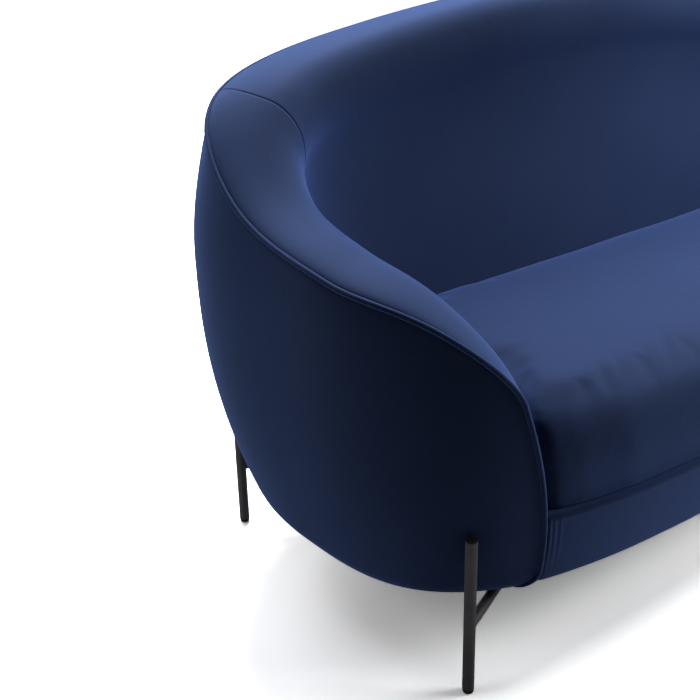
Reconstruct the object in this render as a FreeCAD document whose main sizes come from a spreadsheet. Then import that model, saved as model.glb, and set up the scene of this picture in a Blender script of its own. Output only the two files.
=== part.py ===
import FreeCAD, Part
import math
import os

import Sketcher

# A tub sofa: a barrel-shaped upholstered shell with one seat cushion, standing on four posts.
# X runs along the sofa, Y from front to back, Z up; the origin is on the floor under the middle.
# Angles in plan start at the left end of the sofa, 90 at the middle of the back, -90 at the front.

SIZES = [
    ("half_length", 900, "Half the overall length"),
    ("half_depth", 425, "Half the depth of the shell at its widest"),
    ("centre_y", -12, "Centre of the shell's plan, so the whole sofa is centred on the origin"),
    ("corner_power", 3.55, "Squareness of the plan: 2 is an ellipse, more is squarer"),
    ("shell_bottom", 135, "Underside of the shell above the floor"),
    ("widest_height", 557, "Height at which the shell is widest"),
    ("tuck_front", 53, "How far the bottom edge is set in at the front"),
    ("tuck_side", 52, "The same at the two ends"),
    ("tuck_back", 106, "The same at the back"),
    ("tuck_power", 2.5, "How late the shell curves under"),
    ("edge_round", 20, "Rounding of the shell's lower edge"),
    ("lean_in", 27, "Lean inwards 200 mm above the widest height"),
    ("arm_thickness", 180, "Arm thickness at seat level"),
    ("back_thickness", 272, "Back thickness at seat level"),
    ("arm_roll", 135, "Width of the rolled top of an arm"),
    ("back_roll", 185, "Width of the rolled top of the back"),
    ("roll_rise", 20, "Height of the roll above the piping"),
    ("arm_drop", 45, "Fall of the roll's inner half below the piping, along the arms"),
    ("back_drop", 100, "The same along the back"),
    ("seat_level", 420, "Height at which the inner walls start to lean out"),
    ("inner_bottom", 266, "Bottom of the inner panels"),
    ("rail_top", 276, "Top of the front rail and of the seat deck"),
    ("cushion_bottom", 276.5, "Underside of the loose cushion"),
    ("cushion_top", 436, "Top of the loose cushion"),
    ("cushion_clearance", 3, "Gap between the cushion and the inner walls"),
    ("cloth", 2.5, "Thickness of the velvet with its backing"),
    ("layer_gap", 1, "Slack between one upholstery layer and the next"),
    ("rail_padding", 9, "Thickness of the padding on the front rail"),
    ("rail_corner", 8, "Rounding of the front rail's top edge"),
    ("piping_diameter", 7.5, "Piping"),
    ("padding", 22, "Thickness of the outer padding"),
    ("frame_inset", 30, "Frame edge inside the outer face"),
    ("roll_foam", 30, "Foam over the rolled top"),
    ("wall_foam", 50, "Foam on the inner walls"),
    ("ply", 18, "Thickness of the plywood frame parts"),
    ("fascia_thickness", 9, "Bent plywood board behind the front rail"),
    ("rib_room", 8, "Slack between a rib and the upholstery"),
    ("corner_room", 22, "The same behind the foam at the rear corners"),
    ("top_rail_drop", 56, "Top rail below the piping"),
    ("ring_bottom", 136, "Underside of the base ring"),
    ("ring_width", 145, "Width of the base ring"),
    ("seat_frame_length", 1240, "Length of the seat frame"),
    ("seat_frame_front", -322, "Front face of the seat frame"),
    ("seat_frame_back", 60, "Back face of the seat frame"),
    ("seat_frame_top", 262, "Top of the seat frame"),
    ("seat_frame_height", 60, "Height of the seat frame rails"),
    ("seat_frame_rail", 30, "Width of the seat frame rails"),
    ("corner_block_length", 80, "Blocks that carry the seat frame"),
    ("corner_block_width", 70, "The same across the sofa"),
    ("joint_gap", 0.3, "Glue line between wooden parts"),
    ("web_width", 50, "Width of the seat webbing"),
    ("web_thickness", 2, "Thickness of the seat webbing"),
    ("long_web_count", 5, "Bands along the sofa"),
    ("long_web_pitch", 74, "Distance from one to the next"),
    ("cross_web_count", 12, "Bands across the sofa"),
    ("cross_web_pitch", 103, "Distance from one to the next"),
    ("post_diameter", 18, "Leg post"),
    ("post_wall", 2, "Wall of the leg post"),
    ("post_top", 264, "Top end of the leg post"),
    ("glide_height", 8, "Foot glide under the post"),
    ("glide_face", 10, "Diameter of the flat under the glide"),
    ("front_post_x", 785, "Front posts from the centre line"),
    ("front_post_y", -320.5, "Front posts"),
    ("rear_post_x", 770, "Rear posts from the centre line"),
    ("rear_post_y", 286.8, "Rear posts"),
    ("arm_diameter", 16, "Bar welded to the post"),
    ("arm_height", 119, "Centre of the bar above the floor"),
    ("arm_length", 290, "Reach of the bar from the post"),
    ("arm_turn", 23, "Direction of the bar from the sofa's length, in degrees"),
    ("plate_end_gap", 6, "Bar past the end of its plate"),
    ("screw_edge", 14, "Screws from the ends of the plate"),
    ("screw_spread", 40, "Distance between the screws across the plate"),
    ("plate_length", 100, "Mounting plate along the bar"),
    ("plate_width", 58, "Mounting plate across the bar"),
    ("plate_thickness", 4, "Mounting plate"),
    ("plate_bottom", 127.5, "Underside of the mounting plate"),
    ("screw_diameter", 4.8, "Wood screws through the plate"),
    ("screw_length", 22, "Length of a screw under its head"),
    ("screw_hole", 5.6, "Hole for a screw"),
]

doc = FreeCAD.newDocument("tub_sofa")
sheet = doc.addObject("Spreadsheet::Sheet", "sizes")
for row, (alias, value, meaning) in enumerate(SIZES, start=1):
    sheet.set("A%d" % row, meaning)
    sheet.set("B%d" % row, str(value))
    sheet.setAlias("B%d" % row, alias)
doc.recompute()


def size(alias):
    return float(sheet.get(alias))


HALF_LENGTH = size("half_length")
HALF_DEPTH = size("half_depth")
CENTRE_Y = size("centre_y")
POWER = size("corner_power")
CLOTH = size("cloth")
GAP = size("layer_gap")

# The piping's height at stations along the half rim: 0 is the top of the front seam, 4 the back.
RIM = [(0.0, 470), (0.52, 590), (1.0, 625), (1.67, 670), (2.43, 798), (3.4, 876), (4.0, 887)]
RIM_START_SLOPE = 200.0  # rise per station where the piping turns over the front seam
BACK_STATION = 4.0
TURN_END = 1 + (BACK_STATION - 1) * math.pi / 2
SEAM_SHIFT = 0.4  # degrees of plan angle between the front piping and the panels beside it
PIPING_ROOM = 5.2  # height between the rim and the panels that meet the piping

nodes = []  # every finished piece


# ---------------------------------------------------------------- the shell as a surface

def plan(angle):
    """Unit superellipse at an angle in degrees: 1, 0 at the end and 0, 1 at the back."""
    across, along = math.sin(math.radians(angle)), math.cos(math.radians(angle))
    scale = (abs(along) ** POWER + abs(across) ** POWER) ** (-1 / POWER)
    return scale * along, scale * across


def tuck(side, height):
    """How far the outer face is inside the widest outline, at a height."""
    blend = 0.2
    weight = (math.hypot(side, blend) - blend) / (math.hypot(1, blend) - blend)
    edge = size("tuck_back") if side > 0 else size("tuck_front")
    bottom = size("tuck_side") * (1 - weight) + edge * weight
    widest = size("widest_height")
    low = max(0.0, (widest - height) / (widest - size("shell_bottom")))
    high = max(0.0, (height - widest) / 200)
    edge_level = (size("shell_bottom") + size("edge_round") - height) / size("edge_round")
    edge_level = min(0.97, max(0.0, edge_level))
    rounding = size("edge_round") * (1 - math.sqrt(1 - edge_level ** 2))
    return bottom * low ** size("tuck_power") + size("lean_in") * high ** 2 + rounding


def shell_point(angle, height, inset=0.0):
    """Point on the left half of the outer face, or inset from it horizontally."""
    along, across = plan(angle)
    total = tuck(across, height) + inset
    return FreeCAD.Vector(-(HALF_LENGTH - total) * along, (HALF_DEPTH - total) * across + CENTRE_Y, height)


def front_angle(height):
    """Plan angle of the front seam."""
    return -48.24 + 3.28 * ((height - 220) / 270) ** 2


def station_angle(station, height):
    """Plan angle of a station, and how full the arm is there: 0 at the front seam, then 1."""
    if station < 1:
        turn, fullness = 1 - math.cos(station * math.pi / 2), math.sin(station * math.pi / 2)
    else:
        turn, fullness = 1 + (station - 1) * math.pi / 2, 1.0
    start = front_angle(height)
    return start + (90 - start) * turn / TURN_END, fullness


def rim_height(station):
    """Smooth curve through RIM, level at the middle of the back."""
    points = RIM + [(2 * BACK_STATION - RIM[-2][0], RIM[-2][1])]
    index = max(i for i in range(len(RIM) - 1) if station >= RIM[i][0] or i == 0)
    (x0, y0), (x1, y1) = points[index], points[index + 1]

    def slope(i):
        if i == 0:
            return RIM_START_SLOPE
        return (points[i + 1][1] - points[i - 1][1]) / (points[i + 1][0] - points[i - 1][0])

    span = x1 - x0
    s = (station - x0) / span
    return (
        y0 * (1 + 2 * s) * (1 - s) ** 2
        + span * slope(index) * s * (1 - s) ** 2
        + y1 * s ** 2 * (3 - 2 * s)
        + span * slope(index + 1) * s ** 2 * (s - 1)
    )


def mirrored(station, point):
    """Points past the middle of the back are on the right half."""
    return FreeCAD.Vector(-point.x, point.y, point.z) if station > BACK_STATION else point


def left_station(station):
    return abs(min(station, 2 * BACK_STATION - station))


def outer_face(station, level, top_gap=PIPING_ROOM):
    """Outer face: station round the shell, level 0 at the bottom and 1 under the piping."""
    left = left_station(station)
    low = size("shell_bottom") + 1
    height = low + (rim_height(left) - top_gap - low) * level
    angle = station_angle(left, height)[0]
    angle += SEAM_SHIFT * max(0.0, 1 - left)
    return mirrored(station, shell_point(angle, height))


def roll_drop(station):
    """How far the roll's inner half falls below the piping."""
    side = max(plan(station_angle(station, rim_height(station))[0])[1], 0.0)
    return size("arm_drop") + (size("back_drop") - size("arm_drop")) * side


def roll_foot(station, fullness):
    """Height at which the roll meets the inner wall."""
    return rim_height(station) - roll_drop(station) * fullness


def wall_thickness(angle, height, fullness, foot):
    """Arm or back thickness: full below the seat level, the roll's width at the roll's foot."""
    side = max(plan(angle)[1], 0.0)
    seat = size("arm_thickness") + (size("back_thickness") - size("arm_thickness")) * side ** 2
    roll = size("arm_roll") + (size("back_roll") - size("arm_roll")) * side ** 2
    level = (height - size("seat_level")) / (foot - size("seat_level"))
    level = min(1.0, max(0.0, level))
    upright, leaning = (1 - math.cos(math.pi * level)) / 2, 1 - math.cos(math.pi * level / 2)
    return fullness * (seat - (seat - roll) * (upright + leaning) / 2)


def inner_face(station, level, roll_cut=0.0, wall_cut=0.0):
    """Inner face: level 0 to 1 over the roll from the piping, 1 to 2 down the inner wall."""
    left = left_station(station)
    top = rim_height(left)
    fullness = station_angle(left, top)[1]
    foot = roll_foot(left, fullness)
    roll_cut = min(roll_cut, 0.25 * size("arm_roll") * fullness)
    wall_cut = min(wall_cut, 0.3 * size("arm_thickness") * fullness)
    if level < 1:
        rise, drop = size("roll_rise") * fullness, roll_drop(left) * fullness
        start = math.asin(min(0.9, PIPING_ROOM / rise))
        turn = start + (math.pi - start) * level
        fall = rise if turn < math.pi / 2 else rise + drop
        height = top + rise - fall * (1 - math.sin(turn)) - roll_cut * math.sin(turn)
        angle = station_angle(left, height)[0]
        width = wall_thickness(angle, foot, fullness, foot)
        depth = roll_cut + (width - roll_cut - wall_cut) * (1 - math.cos(turn)) / 2
    else:
        height = foot + (size("inner_bottom") - foot) * (level - 1)
        angle = station_angle(left, height)[0]
        depth = wall_thickness(angle, height, fullness, foot) - wall_cut
    return mirrored(station, shell_point(angle, height, depth))


def rail_face(share, level):
    """Front rail: share 0 to 1 from the left seam to the right, level 0 to 3 up and over its top."""
    corner, top, low = size("rail_corner"), size("rail_top"), size("shell_bottom") + 1
    if level < 1:
        height, inset = low + (top - corner - low) * level, 0.0
    elif level < 2:
        turn = (level - 1) * math.pi / 2
        height, inset = top - corner + corner * math.sin(turn), corner * (1 - math.cos(turn))
    else:
        height, inset = top, corner + 40 * (level - 2)
    left_share = min(share, 1 - share)
    seam = front_angle(height) - SEAM_SHIFT
    point = shell_point(seam + (-90 - seam) * 2 * left_share, height, inset)
    return FreeCAD.Vector(-point.x, point.y, point.z) if share > 0.5 else point


# ---------------------------------------------------------------- solids from surfaces

def spread(first, last, count):
    return [first + (last - first) * i / (count - 1) for i in range(count)]


def inset_point(face, along, across, distance):
    """A point of the face moved along its normal into the upholstery."""
    step = 0.02
    side = face(min(along + step, 2 * BACK_STATION), across) - face(max(along - step, 0.0), across)
    rise = face(along, across + step) - face(along, max(0.0, across - step))
    return face(along, across) + side.cross(rise).normalize() * distance


def points_of(face, alongs, acrosses, distance=0.0):
    return [[inset_point(face, a, b, distance) for b in acrosses] for a in alongs]


def smooth_curve(points, closed=False):
    """Curve through evenly numbered points, so that rows of a grid share their knots."""
    curve = Part.BSplineCurve()
    count = len(points) + 1 if closed else len(points)
    curve.interpolate(Points=points, PeriodicFlag=closed, Parameters=[float(i) for i in range(count)])
    return curve


def smooth_surface(rows, closed=False):
    """Surface through a grid of points; closed joins the end of each row to its start."""
    across = [smooth_curve(row, closed) for row in rows]
    columns = zip(*[curve.getPoles() for curve in across])
    along = [smooth_curve(list(column)) for column in columns]
    poles = [list(row) for row in zip(*[curve.getPoles() for curve in along])]
    surface = Part.BSplineSurface()
    surface.buildFromPolesMultsKnots(
        poles,
        along[0].getMultiplicities(), across[0].getMultiplicities(),
        along[0].getKnots(), across[0].getKnots(),
        False, closed, along[0].Degree, across[0].Degree,
    )
    return surface


def closed_solid(faces):
    shell = Part.makeShell(faces)
    shell.sewShape(0.01)
    solid = Part.makeSolid(shell)
    solid.fix(0.001, 0.001, 0.01)
    if solid.Volume < 0:
        solid.reverse()
    return solid


def border(grid):
    """The four edges of a grid of points."""
    return [grid[0], grid[-1], [row[0] for row in grid], [row[-1] for row in grid]]


def layer(first_grid, second_grid):
    """Closed solid between two grids of points with the same rows and columns."""
    faces = [smooth_surface(first_grid), smooth_surface(second_grid)]
    for first, second in zip(border(first_grid), border(second_grid)):
        faces.append(smooth_surface([first, second]))
    return closed_solid([face.toShape() for face in faces])


def flat_cap(ring):
    return Part.Face(Part.Wire(smooth_curve(ring, closed=True).toShape()))


def capped(grid):
    """Closed solid from rings of points, the first and last ring lying flat."""
    side = smooth_surface(grid, closed=True).toShape()
    return closed_solid([side, flat_cap(grid[0]), flat_cap(grid[-1])])


def tube(path, radius):
    """Round cord along a smooth path; the rings turn as little as possible along it."""
    grid = []
    side = FreeCAD.Vector(0, 1, 0)
    for index, point in enumerate(path):
        ahead = path[min(index + 1, len(path) - 1)] - path[max(index - 1, 0)]
        ahead.normalize()
        side = (side - ahead * side.dot(ahead)).normalize()
        other = ahead.cross(side)
        turns = [2 * math.pi * i / 12 for i in range(12)]
        grid.append([point + side * radius * math.cos(t) + other * radius * math.sin(t) for t in turns])
    return capped(grid)


def feature(name, shape):
    """A freely curved piece, held as a plain feature."""
    piece = doc.addObject("Part::Feature", name)
    piece.Shape = shape
    piece.Label = name
    nodes.append(piece)
    return piece


def keep(piece, name):
    piece.Label = name
    nodes.append(piece)
    return piece


# ---------------------------------------------------------------- parametric bodies

def new_body(name):
    return doc.addObject("PartDesign::Body", name)


def plane_of(body, role):
    return [item for item in body.Origin.OriginFeatures if item.Role == role][0]


def new_sketch(body, name, role="XY_Plane", height=None):
    sketch = body.newObject("Sketcher::SketchObject", name)
    sketch.AttachmentSupport = [(plane_of(body, role), "")]
    sketch.MapMode = "FlatFace"
    if height is not None:
        sketch.setExpression("AttachmentOffset.Base.z", height)
    return sketch


def draw_circle(sketch, diameter, x=0.0, y=0.0):
    index = sketch.addGeometry(Part.Circle(FreeCAD.Vector(x, y, 0), FreeCAD.Vector(0, 0, 1), 1.0))
    if x == 0 and y == 0:
        sketch.addConstraint(Sketcher.Constraint("Coincident", index, 3, -1, 1))
    constraint = sketch.addConstraint(Sketcher.Constraint("Diameter", index, 2.0))
    sketch.setExpression("Constraints[%d]" % constraint, diameter)


def draw_loop(sketch, points):
    curve = Part.BSplineCurve()
    curve.interpolate(Points=points, PeriodicFlag=True)
    sketch.addGeometry(curve)


def draw_polygon(sketch, points):
    for start, end in zip(points, points[1:] + points[:1]):
        sketch.addGeometry(Part.LineSegment(FreeCAD.Vector(*start, 0), FreeCAD.Vector(*end, 0)))


def pad(body, sketch, length, midplane=False):
    result = body.newObject("PartDesign::Pad", sketch.Name + "_pad")
    result.Profile = sketch
    result.setExpression("Length", length)
    result.Midplane = midplane
    sketch.Visibility = False
    return result


def block(name, expressions):
    """Box of timber or webbing; the expressions give its lengths and its lowest corner."""
    box = doc.addObject("Part::Box", name)
    names = ("Length", "Width", "Height", "Placement.Base.x", "Placement.Base.y", "Placement.Base.z")
    for target, expression in zip(names, expressions):
        box.setExpression(target, expression)
    return box


def group(name, pieces):
    """Identical small pieces kept together as one node of separate solids."""
    result = doc.addObject("Part::Compound", name)
    result.Links = pieces
    return keep(result, name)


def mirror(source, name):
    """The same piece on the right-hand side."""
    result = doc.addObject("Part::Mirroring", name)
    result.Source = source
    result.Normal = FreeCAD.Vector(1, 0, 0)
    return result


# ---------------------------------------------------------------- upholstery

LEFT_SEAM = 2.55  # station of the seam between an arm panel and the back panel
RIGHT_SEAM = 2 * BACK_STATION - LEFT_SEAM
SEAM_GAP = 0.012  # half the gap at those seams, in stations
NOSE = 0.1  # station where the inner panels start behind the front piping
UNDERLAY = 0.25  # station where the padding and the foam start


def foam_back(station, level):
    """Back of the foam under the inner panels."""
    return inner_face(station, level, size("roll_foam"), size("wall_foam"))


def side_panels(side, first, last):
    """Outer cover, its padding, inner cover and its foam, from one seam to the next."""
    stations = spread(first, last, 17)
    levels = [level ** 1.7 for level in spread(0.0, 1.0, 13)]  # closer at the rounded lower edge
    feature("outer_cover_" + side, layer(
        points_of(outer_face, stations, levels),
        points_of(outer_face, stations, levels, CLOTH),
    ))
    end = 2 * BACK_STATION
    underlay = spread(max(first, UNDERLAY), min(last, end - UNDERLAY), 19)
    levels = spread(0.09, 0.985, 9)
    feature("outer_padding_" + side, layer(
        points_of(outer_face, underlay, levels, CLOTH + GAP),
        points_of(outer_face, underlay, levels, CLOTH + GAP + size("padding")),
    ))
    stations = spread(max(first, NOSE), min(last, end - NOSE), 19)
    levels = spread(0.0, 1.0, 13) + spread(1.08, 2.0, 11)
    feature("inner_cover_" + side, layer(
        points_of(inner_face, stations, levels),
        points_of(inner_face, stations, levels, CLOTH),
    ))
    feature("back_foam" if side == "back" else "arm_foam_" + side, layer(
        points_of(inner_face, underlay, levels, CLOTH + GAP),
        points_of(foam_back, underlay, levels),
    ))


side_panels("left", 0.0, LEFT_SEAM - SEAM_GAP)
side_panels("back", LEFT_SEAM + SEAM_GAP, RIGHT_SEAM - SEAM_GAP)
side_panels("right", RIGHT_SEAM + SEAM_GAP, 2 * BACK_STATION)

rail_shares = spread(0.0, 1.0, 25)
rail_levels = spread(0.0, 0.95, 8) + spread(1.1, 1.9, 5) + spread(2.05, 3.0, 4)
feature("front_rail_cover", layer(
    points_of(rail_face, rail_shares, rail_levels),
    points_of(rail_face, rail_shares, rail_levels, -CLOTH),
))
padding_shares, padding_levels = spread(0.02, 0.98, 25), spread(0.16, 0.96, 8)
feature("front_rail_padding", layer(
    points_of(rail_face, padding_shares, padding_levels, -CLOTH - GAP),
    points_of(rail_face, padding_shares, padding_levels, -CLOTH - GAP - size("rail_padding")),
))


def rim_point(station):
    left = left_station(station)
    height = rim_height(left)
    return mirrored(station, shell_point(station_angle(left, height)[0], height, -0.5))


def seam_point(height, right):
    point = shell_point(front_angle(height), height, -0.5)
    return FreeCAD.Vector(-point.x, point.y, point.z) if right else point


piping_bottom = size("shell_bottom") + size("piping_diameter") / 2 + 1
seam_heights = spread(piping_bottom, RIM[0][1] - 35, 8)
path = [seam_point(height, False) for height in seam_heights]
path += [rim_point(station) for station in spread(0.0, 2 * BACK_STATION, 49)]
path += [seam_point(height, True) for height in reversed(seam_heights)]
feature("piping", tube(path, size("piping_diameter") / 2))


# ---------------------------------------------------------------- the loose cushion

def cushion_outline(inset, height):
    """Outline of the cushion between the arms and the back, starting at the middle of the back."""
    half = []
    for station in spread(BACK_STATION, 0.3, 16):
        angle, fullness = station_angle(station, height)
        wall = wall_thickness(angle, height, fullness, roll_foot(station, fullness))
        half.append(shell_point(angle, height, wall + size("cushion_clearance") + inset))
    seam = front_angle(height)
    for angle, depth in ((seam - 1.2, 24), (seam - 4.5, 15), (seam - 10, 13), (-68, 12), (-78, 12)):
        half.append(shell_point(angle, height, depth + inset))
    middle = shell_point(-90, height, 12 + inset)
    other = [FreeCAD.Vector(-point.x, point.y, height) for point in reversed(half[1:])]
    return half + [middle] + other


def cushion_grid(shrink, bottom, top):
    """Rings of points up the side of the cushion and round its top edge."""
    rows = [(0.0, 6), (0.03, 2), (0.08, 0), (0.16, 0), (0.35, 0), (0.55, 2), (0.7, 8), (0.82, 16), (0.91, 27),
            (0.97, 41), (1.0, 64)]
    return [cushion_outline(inset + shrink, bottom + (top - bottom) * level) for level, inset in rows]


cushion_low, cushion_high = size("cushion_bottom"), size("cushion_top")
outside = cushion_grid(0, cushion_low, cushion_high)
hollow = cushion_grid(CLOTH, cushion_low, cushion_high - CLOTH)
hem = smooth_surface([outside[0], hollow[0]], closed=True)
feature("seat_cushion_cover", closed_solid([
    smooth_surface(outside, closed=True).toShape(),
    smooth_surface(hollow, closed=True).toShape(),
    flat_cap(outside[-1]),
    flat_cap(hollow[-1]),
    hem.toShape(),
]))
inside = cushion_grid(CLOTH + GAP, cushion_low + CLOTH + GAP, cushion_high - CLOTH - GAP)
feature("seat_cushion_foam", capped(inside))

cushion_base = new_body("seat_cushion_base_body")
sketch = new_sketch(cushion_base, "cushion_base_outline", height="sizes.cushion_bottom")
base_outline = cushion_outline(9 + CLOTH + GAP, size("cushion_bottom"))
draw_loop(sketch, [FreeCAD.Vector(point.x, point.y, 0) for point in base_outline])
pad(cushion_base, sketch, "sizes.cloth")
keep(cushion_base, "seat_cushion_base")


# ---------------------------------------------------------------- covers and boards in plan

def shell_outline(height, inset):
    """Outline of the shell at a height, set in horizontally, as a closed ring."""
    left = [shell_point(angle, height, inset) for angle in spread(-90, 90, 37)]
    ring = left + [FreeCAD.Vector(-p.x, p.y, p.z) for p in reversed(left[1:-1])]
    return [FreeCAD.Vector(p.x, p.y, 0) for p in ring]


POST_PLACES = {
    "front": ("front_post_x", "front_post_y", 1),
    "rear": ("rear_post_x", "rear_post_y", -1),
}


def bar_direction(corner):
    """Plan angle of the left-hand bar from +X, towards the middle of the sofa."""
    return math.radians(size("arm_turn")) * POST_PLACES[corner][2]


def bar_point(corner, along, across, right=False):
    """Place under the shell measured along and across a leg's bar."""
    x_name, y_name, _ = POST_PLACES[corner]
    turn = bar_direction(corner)
    x = -size(x_name) + along * math.cos(turn) - across * math.sin(turn)
    y = size(y_name) + along * math.sin(turn) + across * math.cos(turn)
    return (-x if right else x), y


PLATE_END = size("arm_length") - size("plate_end_gap")
PLATE_START = PLATE_END - size("plate_length")
SCREW_GRID = [
    (along, across)
    for along in (PLATE_START + size("screw_edge"), PLATE_END - size("screw_edge"))
    for across in (-size("screw_spread") / 2, size("screw_spread") / 2)
]
SCREW_PLACES = [
    bar_point(corner, along, across, right)
    for corner in POST_PLACES for right in (False, True) for along, across in SCREW_GRID
]

dust_cover = new_body("dust_cover_body")
sketch = new_sketch(dust_cover, "dust_cover_outline", height="sizes.shell_bottom - 2")
draw_loop(sketch, shell_outline(size("shell_bottom"), 6))
for x, y in SCREW_PLACES:
    draw_circle(sketch, "sizes.screw_hole", x, y)
pad(dust_cover, sketch, "1")
keep(dust_cover, "dust_cover")

base_ring = new_body("base_ring_body")
sketch = new_sketch(base_ring, "base_ring_outline", height="sizes.ring_bottom")
draw_loop(sketch, shell_outline(size("ring_bottom"), size("frame_inset")))
draw_loop(sketch, shell_outline(size("ring_bottom"), size("frame_inset") + size("ring_width")))
for x, y in SCREW_PLACES:
    draw_circle(sketch, "sizes.screw_hole", x, y)
pad(base_ring, sketch, "sizes.ply")
keep(base_ring, "base_ring")


def deck_outline(inset):
    """Outline of the seat deck inside the inner panels and behind the front rail."""
    low = size("inner_bottom")
    half = []
    for station in spread(BACK_STATION, 0.35, 16):
        angle, fullness = station_angle(station, low)
        wall = wall_thickness(angle, low, fullness, roll_foot(station, fullness))
        half.append(shell_point(angle, low, wall + inset))
    for angle in (-56, -66, -78):
        half.append(shell_point(angle, low, 58 + inset))
    middle = [shell_point(-90, low, 58 + inset)]
    other = [FreeCAD.Vector(-p.x, p.y, p.z) for p in reversed(half[1:])]
    return [FreeCAD.Vector(p.x, p.y, 0) for p in half + middle + other]


deck = new_body("seat_deck_body")
sketch = new_sketch(deck, "seat_deck_outline", height="sizes.rail_top - sizes.cloth")
draw_loop(sketch, deck_outline(4))
pad(deck, sketch, "sizes.cloth - 0.5")
keep(deck, "seat_deck_cover")

# ---------------------------------------------------------------- plywood ribs and top rails


def station_of(angle, height):
    start = front_angle(height)
    turn = (angle - start) / (90 - start) * TURN_END
    return math.acos(1 - turn) * 2 / math.pi if turn < 1 else 1 + (turn - 1) * 2 / math.pi


def rib_outline(angle, room):
    """Profile of an upright rib in its own plane: distance inwards, height."""
    along, across = plan(angle)
    stretch = math.hypot(along, across)
    top = size("widest_height")
    for _ in range(8):
        top = rim_height(station_of(angle, top))
    fullness = station_angle(station_of(angle, top), top)[1]
    foot = roll_foot(station_of(angle, top), fullness)
    rib_top = top - size("top_rail_drop") - size("ply") - size("rib_room")
    low = size("ring_bottom") + size("ply") + size("joint_gap")
    outset = size("frame_inset") + size("rib_room")
    outer = [(tuck(across, height) + outset, height) for height in spread(low, rib_top, 7)]
    inner = []
    for height in spread(rib_top, size("inner_bottom"), 7):
        wall = wall_thickness(angle, height, fullness, foot) - size("wall_foam")
        inner.append((tuck(across, height) + wall - room, height))
    foot = inner[-1][0]
    return [(x * stretch, z) for x, z in outer + inner + [(foot, low)]]


def rib(name, angle, room):
    along, across = plan(angle)
    body = new_body(name + "_body")
    sketch = new_sketch(body, name + "_profile", "XZ_Plane")
    draw_polygon(sketch, rib_outline(angle, room))
    pad(body, sketch, "sizes.ply", midplane=True)
    heading = math.degrees(math.atan2(-across, along))
    start = FreeCAD.Vector(-HALF_LENGTH * along, HALF_DEPTH * across + CENTRE_Y, 0)
    body.Placement = FreeCAD.Placement(start, FreeCAD.Rotation(FreeCAD.Vector(0, 0, 1), heading))
    return body


for name, angle, room in (
    ("front", -31, "rib_room"),
    ("middle", 3, "rib_room"),
    ("rear", 30, "rib_room"),
    ("corner", 56, "corner_room"),
):
    source = rib("rib_left_" + name, angle, size(room))
    keep(source, "rib_left_" + name)
    keep(mirror(source, "rib_right_%s_mirror" % name), "rib_right_" + name)
keep(rib("rib_back_centre", 90, size("rib_room")), "rib_back_centre")


def top_rail_face(station, level, drop):
    """Board along the top of the ribs, between the outer padding and the foam."""
    left = left_station(station)
    top = rim_height(left)
    angle, fullness = station_angle(left, top)
    foot = roll_foot(left, fullness)
    width = wall_thickness(angle, foot, fullness, foot) - size("wall_foam")
    first, last = size("frame_inset") + size("rib_room"), width - size("rib_room")
    return mirrored(station, shell_point(angle, top - drop, first + (last - first) * level))


for side, first, last in (("left", 0.75, 2.5), ("back", 2.56, 5.44), ("right", 5.5, 7.25)):
    grids = []
    for drop in (size("top_rail_drop"), size("top_rail_drop") + size("ply")):
        stations = spread(first, last, 15)
        grids.append([[top_rail_face(s, level, drop) for level in (0.0, 0.5, 1.0)] for s in stations])
    feature("top_rail_" + side, layer(*grids))


def fascia_face(share, level):
    """Board behind the front rail's padding, share 0 to 1 from left to right."""
    low = size("ring_bottom") + size("ply") + 1
    height = low + (size("inner_bottom") - 12 - low) * level
    left_share = min(share, 1 - share)
    point = shell_point(-54 - 36 * 2 * left_share, height, 18)
    return FreeCAD.Vector(-point.x, point.y, point.z) if share > 0.5 else point


fascia_shares, fascia_levels = spread(0.0, 1.0, 21), spread(0.0, 1.0, 5)
feature("front_fascia", layer(
    points_of(fascia_face, fascia_shares, fascia_levels),
    points_of(fascia_face, fascia_shares, fascia_levels, -size("fascia_thickness")),
))

# ---------------------------------------------------------------- seat frame and webbing

FRAME_DEPTH = "(sizes.seat_frame_back - sizes.seat_frame_front)"
INNER_DEPTH = FRAME_DEPTH + " - 2 * sizes.seat_frame_rail"
FRAME_LOW = "sizes.seat_frame_top - sizes.seat_frame_height"
LEFT_END = "-sizes.seat_frame_length / 2"
LONG, RAIL = "sizes.seat_frame_length", "sizes.seat_frame_rail"
FRONT, INNER_FRONT = "sizes.seat_frame_front", "sizes.seat_frame_front + sizes.seat_frame_rail"
for name, x, y, length, width in (
    ("front", LEFT_END, FRONT, LONG, RAIL),
    ("back", LEFT_END, "sizes.seat_frame_back - sizes.seat_frame_rail", LONG, RAIL),
    ("left", LEFT_END, INNER_FRONT, RAIL, INNER_DEPTH),
    ("right", "sizes.seat_frame_length / 2 - sizes.seat_frame_rail", INNER_FRONT, RAIL, INNER_DEPTH),
    ("centre", "-sizes.seat_frame_rail / 2", INNER_FRONT, RAIL, INNER_DEPTH),
):
    rail_box = block("seat_frame_%s_box" % name, (length, width, "sizes.seat_frame_height", x, y, FRAME_LOW))
    keep(rail_box, "seat_frame_" + name)

corner_blocks = []
for x in (LEFT_END, "sizes.seat_frame_length / 2 - sizes.corner_block_length"):
    for y in (FRONT, "sizes.seat_frame_back - sizes.corner_block_width"):
        corner_blocks.append(block("corner_block_%d" % len(corner_blocks), (
            "sizes.corner_block_length", "sizes.corner_block_width",
            FRAME_LOW + " - sizes.ring_bottom - sizes.ply - 2 * sizes.joint_gap",
            x, y, "sizes.ring_bottom + sizes.ply + sizes.joint_gap",
        )))
group("corner_blocks", corner_blocks)

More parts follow.
